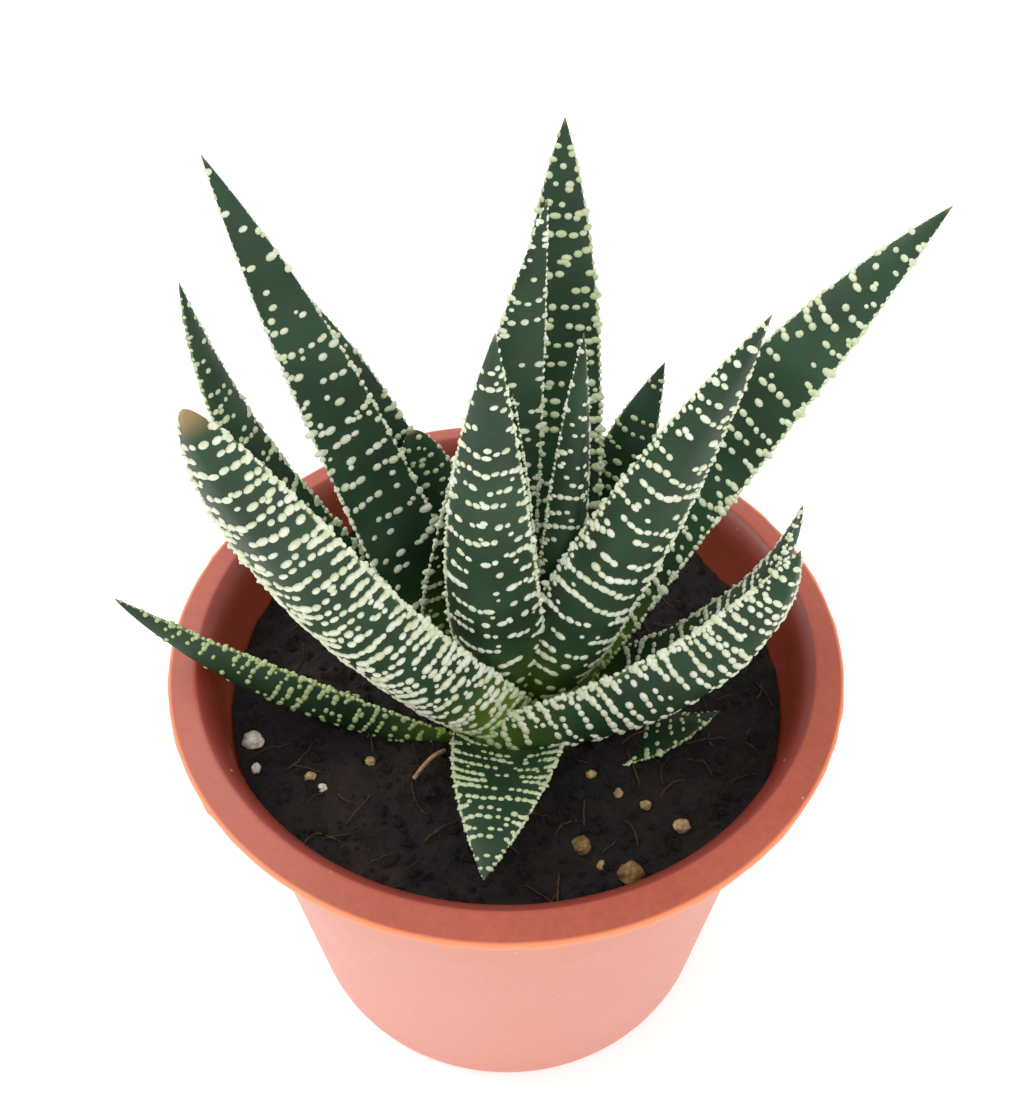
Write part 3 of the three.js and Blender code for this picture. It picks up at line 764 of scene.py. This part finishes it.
def makeStone(node, seed):
    low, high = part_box(node)
    centre, half = (low + high) / 2, (high - low) / 2
    bpy.ops.mesh.primitive_ico_sphere_add(subdivisions=4, radius=1.0)
    stone = bpy.context.object
    for vertex in stone.data.vertices:
        direction = vertex.co.normalized()
        bump = 1 + 0.22 * noise.noise(direction * 1.6 + Vector((seed, 0, 0))) - 0.1
        bump += 0.05 * noise.noise(direction * 5 + Vector((0, seed, 0)))
        vertex.co = Vector([centre[i] + direction[i] * half[i] * bump for i in range(3)])
    stone.name = node + "_stone"
    stone.data.materials.append(gritTone.get(node, tanGrit))
    stone.data.shade_smooth()
    return stone


for number, node in enumerate(sorted(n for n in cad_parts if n.startswith("grit_"))):
    finishPiece(makeStone(node, number * 3.7), node)


# ---- pot ----
potShape = {"rim": 52.5, "height": 77.5, "flange": 4.2, "drop": 1.1, "sheet": 1.1, "base": 38.3, "wall": 0.9,
            "step": 54.0, "wallTop": 44.0, "collarLow": 44.9, "collarTop": 46.2, "floor": 1.2, "sides": 288,
            "holes": 8, "holeRadius": 3.2, "holeCircle": 27.0}

# moulding flash left on the rim's edge: direction in degrees, length and width in mm
burrs = [(217, 0.6, 1.0), (262, 0.4, 1.2), (274, 0.3, 1.8),
         (291, 0.5, 0.9), (299, 0.3, 1.5), (160, 0.3, 1.4)]


def potProfile():
    p = potShape
    inner = p["rim"] - p["flange"]
    top = p["height"]
    lip = top - p["drop"]
    return [
        (0, 0), (p["base"] - 2, 0), (p["base"] - 1.1, 0.15), (p["base"] - 0.6, 0.5), (p["base"] - 0.2, 1.1),
        (p["base"], 1.9), (p["wallTop"], p["step"]), (p["wallTop"] + 0.1, p["step"] + 0.2),
        (p["collarLow"] - 0.1, p["step"] + 0.9), (p["collarLow"], p["step"] + 1.1),
        (p["collarTop"], top - 4.5), (p["collarTop"] + 0.7, top - 2.5),
        (inner + 0.3, top - p["sheet"] - 0.3), (p["rim"] - 0.3, lip - p["sheet"]),
        (p["rim"] - 0.05, lip - 0.8), (p["rim"], lip - 0.45), (p["rim"] - 0.06, lip - 0.1),
        (p["rim"] - 0.25, lip), (p["rim"] - 0.5, lip + 0.06), (inner + 0.4, top - 0.06), (inner, top),
        (inner - 0.4, top - 0.05), (inner - 1, top - 0.3), (p["collarTop"] + 0.1, top - 1.5),
        (p["collarTop"] - p["wall"] + 0.3, top - 3.2), (p["collarTop"] - p["wall"], top - 5),
        (p["collarLow"] - p["wall"], p["step"] + 1.6), (p["wallTop"] - p["wall"], p["step"] + 0.4),
        (p["base"] - p["wall"], 2.6), (p["base"] - 1.4, p["floor"] + 0.3), (p["base"] - 2.4, p["floor"]),
        (0, p["floor"]),
    ]


def makePot():
    p = potShape
    profile = potProfile()
    ringCount, sides = len(profile) - 2, p["sides"]
    vertices = [Vector((0, 0, 0))]
    for radius, height in profile[1:-1]:
        edge = smoothStep(p["rim"] - 1.2, p["rim"], radius)
        for side in range(sides):
            angle = 2 * math.pi * side / sides
            reach = radius + edge * 0.14 * noise.noise(Vector((math.cos(angle), math.sin(angle), 0)) * 14)
            lift = edge * 0.10 * noise.noise(Vector((math.cos(angle), math.sin(angle), 3)) * 9)
            for direction, long, wide in burrs:
                off = math.radians((math.degrees(angle) - direction + 180) % 360 - 180) * p["rim"]
                reach += edge * long * 0.6 * math.exp(-((off / wide * 1.6) ** 2))
            vertices.append(Vector((reach * math.cos(angle), reach * math.sin(angle), height + lift)) * mm)
    vertices.append(Vector((0, 0, profile[-1][1])) * mm)
    top = len(vertices) - 1
    faces = [(0, 1 + (side + 1) % sides, 1 + side) for side in range(sides)]
    for ring in range(ringCount - 1):
        low = 1 + ring * sides
        for side in range(sides):
            after = (side + 1) % sides
            faces.append((low + side, low + after, low + sides + after, low + sides + side))
    last = 1 + (ringCount - 1) * sides
    faces += [(last + side, last + (side + 1) % sides, top) for side in range(sides)]
    body = meshObject("nursery_pot", vertices, faces, potPlastic)
    drills = []
    for hole in range(p["holes"]):
        angle = 2 * math.pi * (hole + 0.5) / p["holes"]
        at = (p["holeCircle"] * mm * math.cos(angle), p["holeCircle"] * mm * math.sin(angle), 0)
        radius = p["holeRadius"] * mm
        bpy.ops.mesh.primitive_cylinder_add(vertices=40, radius=radius, depth=8 * mm, location=at)
        drills.append(bpy.context.object)
    drill = joinAs("drill", drills)
    cut = body.modifiers.new("drainHoles", "BOOLEAN")
    cut.operation, cut.solver, cut.object = "DIFFERENCE", "EXACT", drill
    body.data = bpy.data.meshes.new_from_object(body.evaluated_get(bpy.context.evaluated_depsgraph_get()))
    body.modifiers.clear()
    bpy.data.objects.remove(drill)
    body.data.shade_smooth()
    body.data.set_sharp_from_angle(angle=math.radians(35))
    return body


finishPiece(makePot(), "pot")


def setMaterial(node, material):
    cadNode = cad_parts[node]
    cadNode.data.materials.clear()
    cadNode.data.materials.append(material)


setMaterial("dry_husk", huskSkin)
setMaterial("stem", stemSkin)
print("grit, husk and pot ready")
